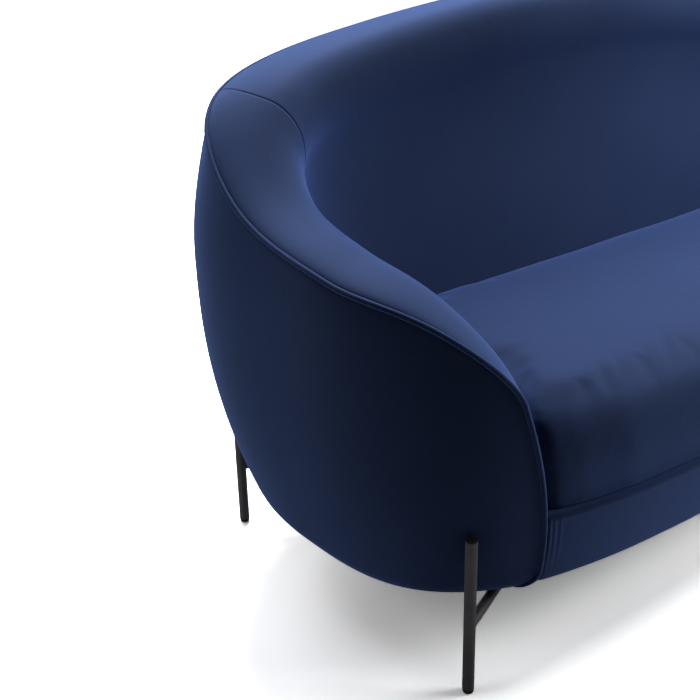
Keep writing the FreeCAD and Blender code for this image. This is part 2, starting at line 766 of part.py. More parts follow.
long_webs, cross_webs = [], []
for index in range(int(size("long_web_count"))):
    middle = "(%d - (sizes.long_web_count - 1) / 2) * sizes.long_web_pitch" % index
    long_webs.append(block("long_web_%d" % index, (
        LONG, "sizes.web_width", "sizes.web_thickness", LEFT_END,
        "(sizes.seat_frame_front + sizes.seat_frame_back - sizes.web_width) / 2 + " + middle,
        "sizes.seat_frame_top + sizes.joint_gap",
    )))
for index in range(int(size("cross_web_count"))):
    middle = "(%d - (sizes.cross_web_count - 1) / 2) * sizes.cross_web_pitch" % index
    cross_webs.append(block("cross_web_%d" % index, (
        "sizes.web_width", FRAME_DEPTH, "sizes.web_thickness", "-sizes.web_width / 2 + " + middle,
        FRONT, "sizes.seat_frame_top + sizes.web_thickness + 2 * sizes.joint_gap",
    )))
group("webbing_long", long_webs)
group("webbing_cross", cross_webs)

# ---------------------------------------------------------------- legs


def post(corner):
    x_name, y_name, _ = POST_PLACES[corner]
    body = new_body("post_" + corner)
    sketch = new_sketch(body, "post_%s_section" % corner, height="sizes.glide_height")
    draw_circle(sketch, "sizes.post_diameter")
    draw_circle(sketch, "sizes.post_diameter - 2 * sizes.post_wall")
    pad(body, sketch, "sizes.post_top - sizes.glide_height")
    body.setExpression("Placement.Base.x", "-sizes." + x_name)
    body.setExpression("Placement.Base.y", "sizes." + y_name)
    return body


def bar_placement(corner):
    """At the left-hand post, with X along its bar."""
    x_name, y_name, _ = POST_PLACES[corner]
    heading = math.degrees(bar_direction(corner))
    place = FreeCAD.Vector(-size(x_name), size(y_name), 0)
    return FreeCAD.Placement(place, FreeCAD.Rotation(FreeCAD.Vector(0, 0, 1), heading))


def bar(corner):
    """Bar from the post to the middle of its plate, with its end saddled round the post."""
    body = new_body("bar_" + corner)
    sketch = new_sketch(body, "bar_%s_section" % corner, "YZ_Plane")
    centre = FreeCAD.Vector(0, size("arm_height"), 0)
    index = sketch.addGeometry(Part.Circle(centre, FreeCAD.Vector(0, 0, 1), size("arm_diameter") / 2))
    diameter = sketch.addConstraint(Sketcher.Constraint("Diameter", index, size("arm_diameter")))
    sketch.setExpression("Constraints[%d]" % diameter, "sizes.arm_diameter")
    sketch.addConstraint(Sketcher.Constraint("PointOnObject", index, 3, -2))
    height = sketch.addConstraint(Sketcher.Constraint("DistanceY", -1, 1, index, 3, size("arm_height")))
    sketch.setExpression("Constraints[%d]" % height, "sizes.arm_height")
    pad(body, sketch, "sizes.arm_length")
    saddle = new_sketch(body, "bar_%s_saddle" % corner)
    draw_circle(saddle, "sizes.post_diameter + 0.1")
    doc.recompute()
    pocket = body.newObject("PartDesign::Pocket", "bar_%s_saddle_cut" % corner)
    pocket.Profile = saddle
    pocket.Type = "ThroughAll"
    pocket.Midplane = True
    saddle.Visibility = False
    body.Placement = bar_placement(corner)
    return body


def plate(corner):
    body = new_body("plate_" + corner)
    sketch = new_sketch(body, "plate_%s_outline" % corner, height="sizes.plate_bottom")
    half = size("plate_width") / 2
    draw_polygon(sketch, [(PLATE_START, -half), (PLATE_END, -half), (PLATE_END, half), (PLATE_START, half)])
    for x, y in SCREW_GRID:
        draw_circle(sketch, "sizes.screw_hole", x, y)
    pad(body, sketch, "sizes.plate_thickness")
    body.Placement = bar_placement(corner)
    return body


def turned(name, profile):
    """Small round piece turned about its own upright axis."""
    body = new_body(name)
    sketch = new_sketch(body, name + "_profile", "XZ_Plane")
    draw_polygon(sketch, profile)
    turning = body.newObject("PartDesign::Revolution", name + "_turning")
    turning.Profile = sketch
    turning.ReferenceAxis = (plane_of(body, "Z_Axis"), [""])
    turning.Angle = 360
    sketch.Visibility = False
    return body


def placed(source, name, x, y):
    link = doc.addObject("App::Link", name)
    link.LinkedObject = source
    link.LinkTransform = False
    link.Placement = FreeCAD.Placement(FreeCAD.Vector(x, y, 0), FreeCAD.Rotation())
    return link


for corner in POST_PLACES:
    source = post(corner)
    keep(source, "leg_post_%s_left" % corner)
    keep(mirror(source, "leg_post_%s_mirror" % corner), "leg_post_%s_right" % corner)
    source = bar(corner)
    keep(source, "leg_bar_%s_left" % corner)
    keep(mirror(source, "leg_bar_%s_mirror" % corner), "leg_bar_%s_right" % corner)

plates = []
for corner in POST_PLACES:
    source = plate(corner)
    plates += [source, mirror(source, "plate_%s_mirror" % corner)]
group("leg_plates", plates)

post_radius = size("post_diameter") / 2
bore_radius = post_radius - size("post_wall") - 0.1
face_radius = size("glide_face") / 2
glide_height = size("glide_height")
glide = turned("foot_glide", [
    (0, 0), (face_radius, 0), (7.6, 1.4), (8.6, 3.6), (post_radius, 6.5), (post_radius, glide_height - 0.05),
    (bore_radius, glide_height - 0.05), (bore_radius, glide_height + 14), (0, glide_height + 14),
])
top = size("post_top")
cap = turned("end_cap", [
    (0, top - 12), (bore_radius, top - 12), (bore_radius, top + 0.05), (post_radius, top + 0.05),
    (post_radius - 0.4, top + 1.6), (post_radius - 2, top + 2.2), (0, top + 2.6),
])
screw_radius = size("screw_diameter") / 2
head = size("plate_bottom")
screw = turned("wood_screw", [
    (0, head - 3), (3.2, head - 3), (4.6, head - 1.6), (4.6, head - 0.05), (screw_radius, head - 0.05),
    (screw_radius, head + size("screw_length") - 5), (0.4, head + size("screw_length")),
    (0, head + size("screw_length")),
])
post_places = [
    (sign * size(POST_PLACES[corner][0]), size(POST_PLACES[corner][1]))
    for corner in POST_PLACES for sign in (-1, 1)
]
group("foot_glides", [placed(glide, "glide_%d" % i, x, y) for i, (x, y) in enumerate(post_places)])
group("leg_end_caps", [placed(cap, "cap_%d" % i, x, y) for i, (x, y) in enumerate(post_places)])
group("plate_screws", [placed(screw, "screw_%d" % i, x, y) for i, (x, y) in enumerate(SCREW_PLACES)])

# ---------------------------------------------------------------- check and export

doc.recompute()
for item in doc.Objects:
    if "Invalid" in item.State or "Error" in item.State:
        raise RuntimeError("%s did not recompute: %s" % (item.Name, item.State))
os.makedirs("parts", exist_ok=True)
for piece in nodes:
    shape = piece.Shape
    if shape.isNull() or not shape.isValid():
        raise RuntimeError("%s has no valid shape" % piece.Label)
    if not shape.Solids:
        raise RuntimeError("%s is not solid" % piece.Label)
    shape.exportStep("parts/%s.step" % piece.Label)
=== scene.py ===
import math

import bmesh
import bpy
import numpy as np
from mathutils import Matrix, Vector


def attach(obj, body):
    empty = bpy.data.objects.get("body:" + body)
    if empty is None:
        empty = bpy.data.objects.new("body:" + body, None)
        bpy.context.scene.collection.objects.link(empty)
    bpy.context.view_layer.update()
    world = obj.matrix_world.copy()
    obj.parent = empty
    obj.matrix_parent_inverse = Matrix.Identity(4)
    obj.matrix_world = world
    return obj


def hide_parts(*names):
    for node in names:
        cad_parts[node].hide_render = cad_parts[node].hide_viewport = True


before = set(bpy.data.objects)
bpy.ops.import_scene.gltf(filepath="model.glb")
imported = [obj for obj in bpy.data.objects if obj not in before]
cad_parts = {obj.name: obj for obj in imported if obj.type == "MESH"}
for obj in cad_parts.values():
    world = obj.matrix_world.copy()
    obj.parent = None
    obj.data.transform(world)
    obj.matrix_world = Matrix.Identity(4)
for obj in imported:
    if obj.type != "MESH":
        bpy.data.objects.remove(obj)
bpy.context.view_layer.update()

# ---------------------------------------------------------------- sizes, in metres

HALF_LENGTH, HALF_DEPTH, CENTRE_Y = 0.900, 0.425, -0.012
POWER = 3.55
SHELL_BOTTOM, WIDEST, EDGE_ROUND = 0.135, 0.557, 0.020
EDGE_TURNED_MOST = 0.97  # share of the bottom edge's quarter turn that is drawn
TUCK_FRONT, TUCK_SIDE, TUCK_BACK, TUCK_POWER, TUCK_BLEND = 0.053, 0.052, 0.106, 2.5, 0.2
LEAN, LEAN_SPAN = 0.027, 0.2
FRONT_SEAM_ANGLE, FRONT_SEAM_FLARE = -48.24, 3.28  # degrees
FRONT_SEAM_LOW, FRONT_SEAM_SPAN = 0.22, 0.27
ARM_THICKNESS, BACK_THICKNESS = 0.180, 0.272
ARM_ROLL, BACK_ROLL, ROLL_RISE, ARM_DROP, BACK_DROP = 0.135, 0.185, 0.020, 0.045, 0.100
SEAT_LEVEL, INNER_BOTTOM = 0.420, 0.266
RAIL_TOP, RAIL_CORNER, RAIL_TURNED_IN = 0.276, 0.008, 0.06
PANEL_BOTTOM, PANEL_TOP_GAP = SHELL_BOTTOM + 0.001, 0.001
UNDER_DEPTH, UNDER_LEVELS = 0.030, 0.2  # cloth that runs in under the shell, at levels below 0
CUSHION_BOTTOM, CUSHION_TOP = 0.2765, 0.436
PIPING_RADIUS = 0.0041
RIM = np.array([
    # station, height of the piping
    (0.0, 0.470), (0.52, 0.590), (1.0, 0.625), (1.67, 0.670), (2.43, 0.798), (3.4, 0.876),
    (4.0, 0.887),
])
RIM_START_SLOPE = 0.200
# stations run from 0 at the top of the left front seam, over BACK in the middle, to 8 on the right
BACK = 4.0
TURN_END = 1 + (BACK - 1) * math.pi / 2


# ---------------------------------------------------------------- the shell as a surface

def plan(angle):
    """Widest outline seen from above, 1 each way: 0 degrees at the left, 90 at the back."""
    across, along = np.sin(np.radians(angle)), np.cos(np.radians(angle))
    scale = (np.abs(along) ** POWER + np.abs(across) ** POWER) ** (-1 / POWER)
    return scale * along, scale * across


def tuck(side, height):
    """How far the shell is drawn in; side runs from -1 at the front to 1 at the back."""
    weight = (np.hypot(side, TUCK_BLEND) - TUCK_BLEND) / (math.hypot(1, TUCK_BLEND) - TUCK_BLEND)
    edge = np.where(side > 0, TUCK_BACK, TUCK_FRONT)
    bottom = TUCK_SIDE * (1 - weight) + edge * weight
    low = np.clip((WIDEST - height) / (WIDEST - SHELL_BOTTOM), 0, None)
    high = np.clip((height - WIDEST) / LEAN_SPAN, 0, None)
    turned = np.clip((SHELL_BOTTOM + EDGE_ROUND - height) / EDGE_ROUND, 0, EDGE_TURNED_MOST)
    rounding = EDGE_ROUND * (1 - np.sqrt(1 - turned ** 2))
    return bottom * low ** TUCK_POWER + LEAN * high ** 2 + rounding


def shell(angle, height, inset=0.0):
    """Points of the shell, set in from its outside by inset."""
    along, across = plan(angle)
    total = tuck(across, height) + inset
    x = -(HALF_LENGTH - total) * along
    y = (HALF_DEPTH - total) * across + CENTRE_Y
    return np.stack(np.broadcast_arrays(x, y, height), -1)


def front_angle(height):
    """Plan angle of the left front seam."""
    return FRONT_SEAM_ANGLE + FRONT_SEAM_FLARE * ((height - FRONT_SEAM_LOW) / FRONT_SEAM_SPAN) ** 2


def station_angle(station, height):
    """Plan angle at a station, and how full the roll is there, from 0 at the front seam to 1."""
    early = np.clip(station, 0, 1) * math.pi / 2
    turn = np.where(station < 1, 1 - np.cos(early), 1 + (station - 1) * math.pi / 2)
    start = front_angle(height)
    return start + (90 - start) * turn / TURN_END, np.where(station < 1, np.sin(early), 1.0)


def rim_height(station):
    """Height of the piping, a smooth curve through RIM, level in the middle of the back."""
    xs = np.append(RIM[:, 0], 2 * BACK - RIM[-2, 0])
    ys = np.append(RIM[:, 1], RIM[-2, 1])
    slopes = np.empty(len(RIM))
    slopes[0] = RIM_START_SLOPE
    slopes[1:] = (ys[2:] - ys[:-2]) / (xs[2:] - xs[:-2])
    i = np.clip(np.searchsorted(RIM[:, 0], station, side="right") - 1, 0, len(RIM) - 2)
    span = xs[i + 1] - xs[i]
    t = (station - xs[i]) / span
    return (ys[i] * (1 + 2 * t) * (1 - t) ** 2 + span * slopes[i] * t * (1 - t) ** 2
            + ys[i + 1] * t ** 2 * (3 - 2 * t) + span * slopes[i + 1] * t ** 2 * (t - 1))


def mirrored(station, points):
    points = np.array(points)
    points[..., 0] = np.where(station > BACK, -points[..., 0], points[..., 0])
    return points


def left_of(station):
    return np.minimum(station, 2 * BACK - station)


def roll_drop(station):
    """How far the roll's inner half falls below the piping."""
    side = np.clip(plan(station_angle(station, rim_height(station))[0])[1], 0, None)
    return ARM_DROP + (BACK_DROP - ARM_DROP) * side


def wall_thickness(angle, height, fullness, roll_foot):
    """Full below the seat level, the roll's width at the roll's inner foot."""
    side = np.clip(plan(angle)[1], 0, None)
    seat = ARM_THICKNESS + (BACK_THICKNESS - ARM_THICKNESS) * side ** 2
    roll = ARM_ROLL + (BACK_ROLL - ARM_ROLL) * side ** 2
    level = np.clip((height - SEAT_LEVEL) / (roll_foot - SEAT_LEVEL), 0, 1)
    upright, leaning = (1 - np.cos(math.pi * level)) / 2, 1 - np.cos(math.pi * level / 2)
    return fullness * (seat - (seat - roll) * (upright + leaning) / 2)


def outer_face(station, level):
    """Levels below 0 run in under the shell, 0 to 1 up to the piping."""
    left = left_of(station)
    up = np.clip(level, 0, None)
    height = PANEL_BOTTOM + (rim_height(left) - PANEL_TOP_GAP - PANEL_BOTTOM) * up
    inset = UNDER_DEPTH * np.clip(-level / UNDER_LEVELS, 0, 1)
    return mirrored(station, shell(station_angle(left, height)[0], height, inset))


def inner_face(station, level):
    """Level 0 to 1 over the roll from the piping, 1 to 2 down the inner wall."""
    left = left_of(station)
    top = rim_height(left)
    fullness = station_angle(left, top)[1]
    drop = roll_drop(left)
    foot = top - drop * fullness
    turn = math.pi * np.clip(level, 0, 1)
    below = np.where(turn < math.pi / 2, ROLL_RISE, ROLL_RISE + drop) * (1 - np.sin(turn))
    over_roll = top + (ROLL_RISE - below) * fullness
    height = np.where(level < 1, over_roll, foot + (INNER_BOTTOM - foot) * (level - 1))
    angle = station_angle(left, height)[0]
    width = wall_thickness(angle, foot, fullness, foot)
    wall = wall_thickness(angle, height, fullness, foot)
    depth = np.where(level < 1, width * (1 - np.cos(turn)) / 2, wall)
    return mirrored(station, shell(angle, height, depth))


def rail_face(share, level):
    """Share 0 to 1 runs from the left seam to the right.

    Levels below 0 lie underneath, 0 to 1 go up the front, 1 to 2 round the top corner and
    2 to 3 inward on top.
    """
    turn = np.clip(level - 1, 0, 1) * math.pi / 2
    rise = (RAIL_TOP - RAIL_CORNER - PANEL_BOTTOM) * np.clip(level, 0, 1)
    height = PANEL_BOTTOM + rise + RAIL_CORNER * np.sin(turn)
    inset = RAIL_CORNER * (1 - np.cos(turn)) + RAIL_TURNED_IN * np.clip(level - 2, 0, 1)
    inset = inset + UNDER_DEPTH * np.clip(-level / UNDER_LEVELS, 0, 1)
    left = np.minimum(share, 1 - share)
    seam = front_angle(height)
    points = shell(seam + (-90 - seam) * 2 * left, height, inset)
    points[..., 0] = np.where(share > 0.5, -points[..., 0], points[..., 0])
    return points


# ---------------------------------------------------------------- meshes

GRADING = 0.35
TUBE_SIDES = 14


def normals_of(points):
    """Unit normals of a grid: into the padding on the panels, outward on the front rail."""
    side = np.gradient(points, axis=0)
    rise = np.gradient(points, axis=1)
    normal = np.cross(side, rise)
    return normal / np.maximum(np.linalg.norm(normal, axis=-1, keepdims=True), 1e-9)


def run_length(points, axis):
    """Distance along the grid from its first row or column."""
    steps = np.linalg.norm(np.diff(points, axis=axis), axis=-1)
    total = np.cumsum(steps, axis=axis)
    pad = [(1, 0), (0, 0)] if axis == 0 else [(0, 0), (1, 0)]
    return np.pad(total, pad)


def graded(count):
    """Values from 0 to 1, closer together towards both ends."""
    t = np.linspace(0, 1, count)
    return t - GRADING * np.sin(2 * np.pi * t) / (2 * np.pi) * 2


def mesh_object(name, vertices, faces):
    mesh = bpy.data.meshes.new(name)
    mesh.from_pydata([tuple(v) for v in vertices], [], faces)
    mesh.update()
    obj = bpy.data.objects.new(name, mesh)
    bpy.context.scene.collection.objects.link(obj)
    mesh.polygons.foreach_set("use_smooth", [True] * len(mesh.polygons))
    return obj


def grid_object(name, points, flip=False, wrap=False):
    """Mesh over a grid of points, facing the way of normals_of or, flipped, the other way."""
    rows, columns = points.shape[:2]
    faces = []
    last = columns if wrap else columns - 1
    for i in range(rows - 1):
        for j in range(last):
            k = (j + 1) % columns
            face = (i * columns + j, (i + 1) * columns + j, (i + 1) * columns + k, i * columns + k)
            faces.append(face[::-1] if flip else face)
    return mesh_object(name, points.reshape(-1, 3), faces)


def tube_points(path, radius):
    ahead = np.gradient(path, axis=0)
    ahead /= np.linalg.norm(ahead, axis=1, keepdims=True)
    side = np.array([0.0, 1.0, 0.0])
    rings = []
    for point, direction in zip(path, ahead):
        side = side - direction * side.dot(direction)
        side /= np.linalg.norm(side)
        other = np.cross(direction, side)
        turns = np.linspace(0, 2 * np.pi, TUBE_SIDES, endpoint=False)[:, None]
        rings.append(point + radius * (side * np.cos(turns) + other * np.sin(turns)))
    return np.array(rings)


def finish_piece(obj, body, nodes, material):
    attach(obj, body)
    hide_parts(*nodes)
    obj.data.materials.append(material)
    return obj


# ---------------------------------------------------------------- materials

def new_material(name):
    material = bpy.data.materials.new(name)
    material.use_nodes = True
    tree = material.node_tree
    bsdf = tree.nodes["Principled BSDF"]
    return material, tree, bsdf


def noise(tree, scale, detail, rough, vector):
    node = tree.nodes.new("ShaderNodeTexNoise")
    node.inputs["Scale"].default_value = scale
    node.inputs["Detail"].default_value = detail
    node.inputs["Roughness"].default_value = rough
    tree.links.new(vector, node.inputs["Vector"])
    return node


def object_coordinates(tree):
    return tree.nodes.new("ShaderNodeTexCoord").outputs["Object"]


def ramp(tree, source, stops):
    node = tree.nodes.new("ShaderNodeValToRGB")
    tree.links.new(source, node.inputs["Fac"])
    elements = node.color_ramp.elements
    while len(elements) < len(stops):
        elements.new(0.5)
    for element, (place, colour) in zip(elements, stops):
        element.position = place
        element.color = (*colour, 1.0)
    return node.outputs["Color"]


def mixed(tree, amount, first, second, blend="MIX"):
    node = tree.nodes.new("ShaderNodeMix")
    node.data_type = "RGBA"
    node.blend_type = blend
    for value, place in ((amount, "Factor"), (first, "A"), (second, "B")):
        socket = node.inputs[place]
        if isinstance(value, (int, float)):
            socket.default_value = value
        elif isinstance(value, tuple):
            socket.default_value = (*value, 1.0)
        else:
            tree.links.new(value, socket)
    return node.outputs["Result"]


def bump(tree, bsdf, heights):
    """Chain of bump nodes: (height socket, strength, distance in metres)."""
    previous = None
    for height, strength, distance in heights:
        node = tree.nodes.new("ShaderNodeBump")
        node.inputs["Strength"].default_value = strength
        node.inputs["Distance"].default_value = distance
        tree.links.new(height, node.inputs["Height"])
        if previous is not None:
            tree.links.new(previous, node.inputs["Normal"])
        previous = node.outputs["Normal"]
    tree.links.new(previous, bsdf.inputs["Normal"])


SHEEN_TINT = (0.235, 0.395, 1.0)
NAVY_DARK, NAVY_LIGHT = (0.0036, 0.0062, 0.0160), (0.0054, 0.0092, 0.0230)
CORD_DARK, CORD_LIGHT = (0.0044, 0.0074, 0.0190), (0.0064, 0.0106, 0.0265)
NAP_DARKER, NAP_LIGHTER, NAP_SHARE = 0.65, 1.30, 0.40


def velvet(name, dark, light):
    material, tree, bsdf = new_material(name)
    coordinates = object_coordinates(tree)
    cloud = noise(tree, 5.0, 3.0, 0.55, coordinates)
    nap = noise(tree, 60.0, 4.0, 0.65, coordinates)
    pile = noise(tree, 900.0, 2.0, 0.6, coordinates)
    broad = ramp(tree, cloud.outputs["Fac"], [(0.30, dark), (0.72, light)])
    shaded, lit = tuple(c * NAP_DARKER for c in dark), tuple(c * NAP_LIGHTER for c in light)
    brushed = ramp(tree, nap.outputs["Fac"], [(0.25, shaded), (0.80, lit)])
    colour = mixed(tree, NAP_SHARE, broad, brushed)
    tree.links.new(colour, bsdf.inputs["Base Color"])
    bsdf.inputs["Roughness"].default_value = 0.62
    bsdf.inputs["Specular IOR Level"].default_value = 0.05
    bsdf.inputs["Sheen Weight"].default_value = 1.0
    bsdf.inputs["Sheen Roughness"].default_value = 0.60
    bsdf.inputs["Sheen Tint"].default_value = (*SHEEN_TINT, 1.0)
    bump(tree, bsdf, [(cloud.outputs["Fac"], 0.25, 0.004), (nap.outputs["Fac"], 0.24, 0.0012),
                      (pile.outputs["Fac"], 0.22, 0.0003)])
    return material


navy = velvet("navy_velvet", NAVY_DARK, NAVY_LIGHT)
navy_cord = velvet("navy_velvet_cord", CORD_DARK, CORD_LIGHT)


def woven(name, first, second, scale):
    """Plain weave of two crossing sets of threads, blotched between two colours."""
    material, tree, bsdf = new_material(name)
    coordinates = object_coordinates(tree)
    waves = []
    for direction in ("X", "Y"):
        wave = tree.nodes.new("ShaderNodeTexWave")
        wave.bands_direction = direction
        wave.inputs["Scale"].default_value = scale
        wave.inputs["Distortion"].default_value = 1.2
        wave.inputs["Detail"].default_value = 2.0
        tree.links.new(coordinates, wave.inputs["Vector"])
        waves.append(wave.outputs["Fac"])
    weave = mixed(tree, 0.5, waves[0], waves[1])
    blotch = noise(tree, 14.0, 4.0, 0.6, coordinates)
    base = mixed(tree, blotch.outputs["Fac"], first, second)
    tree.links.new(mixed(tree, 0.35, base, weave, "MULTIPLY"), bsdf.inputs["Base Color"])
    bsdf.inputs["Roughness"].default_value = 0.9
    bump(tree, bsdf, [(weave, 0.5, 0.0004)])
    return material


lining = woven("lining_cloth", (0.012, 0.012, 0.014), (0.024, 0.024, 0.028), 320.0)
webbing = woven("webbing_cloth", (0.34, 0.27, 0.16), (0.46, 0.38, 0.25), 180.0)


def foam_material():
    material, tree, bsdf = new_material("foam_cells")
    coordinates = object_coordinates(tree)
    cells = tree.nodes.new("ShaderNodeTexVoronoi")
    cells.inputs["Scale"].default_value = 420.0
    tree.links.new(coordinates, cells.inputs["Vector"])
    age = noise(tree, 6.0, 4.0, 0.6, coordinates)
    base = ramp(tree, age.outputs["Fac"], [(0.3, (0.62, 0.56, 0.38)), (0.75, (0.78, 0.74, 0.58))])
    tree.links.new(base, bsdf.inputs["Base Color"])
    bsdf.inputs["Roughness"].default_value = 0.95
    bump(tree, bsdf, [(cells.outputs["Distance"], 0.6, 0.0006)])
    return material


def wood_material(name, pale, dark, ring_scale):
    material, tree, bsdf = new_material(name)
    coordinates = object_coordinates(tree)
    grain = tree.nodes.new("ShaderNodeTexWave")
    grain.wave_type = "RINGS"
    grain.inputs["Scale"].default_value = ring_scale
    grain.inputs["Distortion"].default_value = 9.0
    grain.inputs["Detail"].default_value = 4.0
    grain.inputs["Detail Scale"].default_value = 1.6
    tree.links.new(coordinates, grain.inputs["Vector"])
    fibre = noise(tree, 130.0, 5.0, 0.7, coordinates)
    base = ramp(tree, grain.outputs["Fac"], [(0.15, dark), (0.85, pale)])
    colour = mixed(tree, 0.25, base, fibre.outputs["Color"], "SOFT_LIGHT")
    tree.links.new(colour, bsdf.inputs["Base Color"])
    bsdf.inputs["Roughness"].default_value = 0.62
    bump(tree, bsdf, [(fibre.outputs["Fac"], 0.25, 0.0005)])
    return material


def coated_metal():
    """Fine-textured dark grey powder coat, rubbed slightly smoother in places."""
    material, tree, bsdf = new_material("powder_coat")
    coordinates = object_coordinates(tree)
    grain = noise(tree, 1400.0, 2.0, 0.6, coordinates)
    wear = noise(tree, 35.0, 4.0, 0.6, coordinates)
    greys = [(0.3, (0.120, 0.120, 0.128)), (0.75, (0.165, 0.165, 0.175))]
    colour = ramp(tree, wear.outputs["Fac"], greys)
    tree.links.new(colour, bsdf.inputs["Base Color"])
    gloss = ramp(tree, wear.outputs["Fac"], [(0.3, (0.40, 0.40, 0.40)), (0.8, (0.52, 0.52, 0.52))])
    tree.links.new(gloss, bsdf.inputs["Roughness"])
    bsdf.inputs["Specular IOR Level"].default_value = 0.5
    bump(tree, bsdf, [(grain.outputs["Fac"], 0.18, 0.0002)])
    return material


def moulded_plastic():
    material, tree, bsdf = new_material("moulded_plastic")
    coordinates = object_coordinates(tree)
    grain = noise(tree, 900.0, 3.0, 0.6, coordinates)
    scuff = noise(tree, 60.0, 4.0, 0.6, coordinates)
    blacks = [(0.3, (0.016, 0.016, 0.018)), (0.8, (0.028, 0.028, 0.030))]
    colour = ramp(tree, scuff.outputs["Fac"], blacks)
    tree.links.new(colour, bsdf.inputs["Base Color"])
    bsdf.inputs["Roughness"].default_value = 0.55
    bump(tree, bsdf, [(grain.outputs["Fac"], 0.3, 0.0002)])
    return material


def zinc():
    material, tree, bsdf = new_material("zinc_plate")
    coordinates = object_coordinates(tree)
    spangle = noise(tree, 220.0, 3.0, 0.6, coordinates)
    greys = [(0.3, (0.42, 0.42, 0.43)), (0.8, (0.60, 0.60, 0.61))]
    colour = ramp(tree, spangle.outputs["Fac"], greys)
    tree.links.new(colour, bsdf.inputs["Base Color"])
    bsdf.inputs["Metallic"].default_value = 1.0
    bsdf.inputs["Roughness"].default_value = 0.38
    bump(tree, bsdf, [(spangle.outputs["Fac"], 0.15, 0.0002)])
    return material


foam = foam_material()
plywood = wood_material("plywood_grain", (0.55, 0.40, 0.24), (0.42, 0.29, 0.16), 14.0)
timber = wood_material("timber_grain", (0.50, 0.34, 0.19), (0.34, 0.21, 0.10), 9.0)
metal, plastic, screw_metal = coated_metal(), moulded_plastic(), zinc()

NODE_MATERIALS = (
    (("leg_post", "leg_bar", "leg_plates"), metal),
    (("foot_glides", "leg_end_caps"), plastic),
    (("plate_screws",), screw_metal),
    (("rib_", "base_ring", "front_fascia"), plywood),
    (("seat_frame", "corner_blocks", "top_rail"), timber),
    (("webbing",), webbing),
    (("arm_foam", "back_foam", "outer_padding", "front_rail_padding"), foam),
)
for node_name, node_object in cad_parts.items():
    for prefixes, material in NODE_MATERIALS:
        if node_name.startswith(prefixes):
            if not node_object.material_slots:
                node_object.data.materials.append(material)
            for place in node_object.material_slots:
                place.material = material

# ---------------------------------------------------------------- upholstery panels

SEAM_START, SEAM_SHIFT, SEAM_SHARE, SEAM_SPREAD = 2.47, -0.25, 0.78, 1.2  # the rear seams
FINE_STEPS = np.array([0.0, 0.003, 0.006, 0.010, 0.016, 0.026])
FINE_LEVELS = np.array([0.0, 0.002, 0.004, 0.007, 0.012, 0.020])
UNDER_ROWS = [-0.2, -0.1, -0.03]
PANEL_RIPPLE = (0.22, 0.0016)  # size, height
CALM_EDGE = 0.04  # the ripple fades out this near to an edge
# how deep and how wide a panel is drawn in at each kind of seam
SEWN, UNDER_PIPING, OVER_PIPING = (0.0011, 0.0016), (0.0034, 0.0045), (0.0006, 0.0030)


def dip(distance, depth, width):
    """How far a panel turns in towards a seam."""
    return depth * np.exp(-(distance / width) ** 2)


def ripple(points, size, height, seed):
    """Gentle unevenness of cloth over padding."""
    rng = np.random.default_rng(seed)
    total = np.zeros(points.shape[:-1])
    for _ in range(6):
        wave = rng.normal(size=3)
        wave *= 2 * np.pi / (size * rng.uniform(0.7, 1.6)) / np.linalg.norm(wave)
        total += np.sin(points @ wave + rng.uniform(0, 2 * np.pi))
    return height * total / 6


def fine_ended(first, last, count, steps):
    """Evenly spread values with extra ones close to both ends, where the seams are."""
    middle = np.linspace(first + steps[-1], last - steps[-1], count)
    return np.concatenate([first + steps[:-1], middle, last - steps[-2::-1]])


def curved_seam(station, level):
    """Bends the rear seams towards the arms where they cross the roll."""
    t = np.clip(level / SEAM_SHARE, 0, 1)
    share = np.clip(1 - np.abs(left_of(station) - SEAM_START) / SEAM_SPREAD, 0, 1)
    shift = SEAM_SHIFT * t ** 2 * (3 - 2 * t) * share
    return np.where(station > BACK, station - shift, station + shift)


def panel(name, face, stations, levels, seams, seed, node, curved=False):
    """A fitted velvet panel, drawn in along its seams."""
    station, level = np.meshgrid(stations, levels, indexing="ij")
    points = face(curved_seam(station, level) if curved else station, level)
    along, up = run_length(points, 0), run_length(points, 1)
    edges = {"first": along, "last": along[-1] - along, "bottom": up, "top": up[:, -1:] - up}
    inward = sum(dip(edges[seam], depth, width) for seam, (depth, width) in seams.items())
    nearest = np.minimum.reduce(list(edges.values()))
    soft = ripple(points, *PANEL_RIPPLE, seed) * np.clip(nearest / CALM_EDGE, 0, 1)
    piece = grid_object(name, points + normals_of(points) * (inward + soft)[..., None], flip=True)
    finish_piece(piece, "frame", [node], navy)


SPANS = (
    # side, first and last station, ends that are sewn
    ("left", 0.0, SEAM_START, ("last",)),
    ("back", SEAM_START, 2 * BACK - SEAM_START, ("first", "last")),
    ("right", 2 * BACK - SEAM_START, 2 * BACK, ("first",)),
)
outer_levels = np.concatenate([UNDER_ROWS, fine_ended(0.0, 1.0, 44, FINE_LEVELS)])
roll_levels = np.concatenate([FINE_LEVELS, np.linspace(0.04, 1.0, 36)[:-1]])
inner_levels = np.concatenate([roll_levels, np.linspace(1.0, 2.0, 40)])
for number, (side, first, last, ends) in enumerate(SPANS):
    stations = fine_ended(first, last, 150 if side == "back" else 100, FINE_STEPS)
    sewn = {end: SEWN for end in ends}
    panel("velvet_outer_" + side, outer_face, stations, outer_levels,
          {**sewn, "top": UNDER_PIPING}, 10 + number, "outer_cover_" + side)
    panel("velvet_inner_" + side, inner_face, stations, inner_levels,
          {**sewn, "bottom": OVER_PIPING}, 20 + number, "inner_cover_" + side, curved=True)

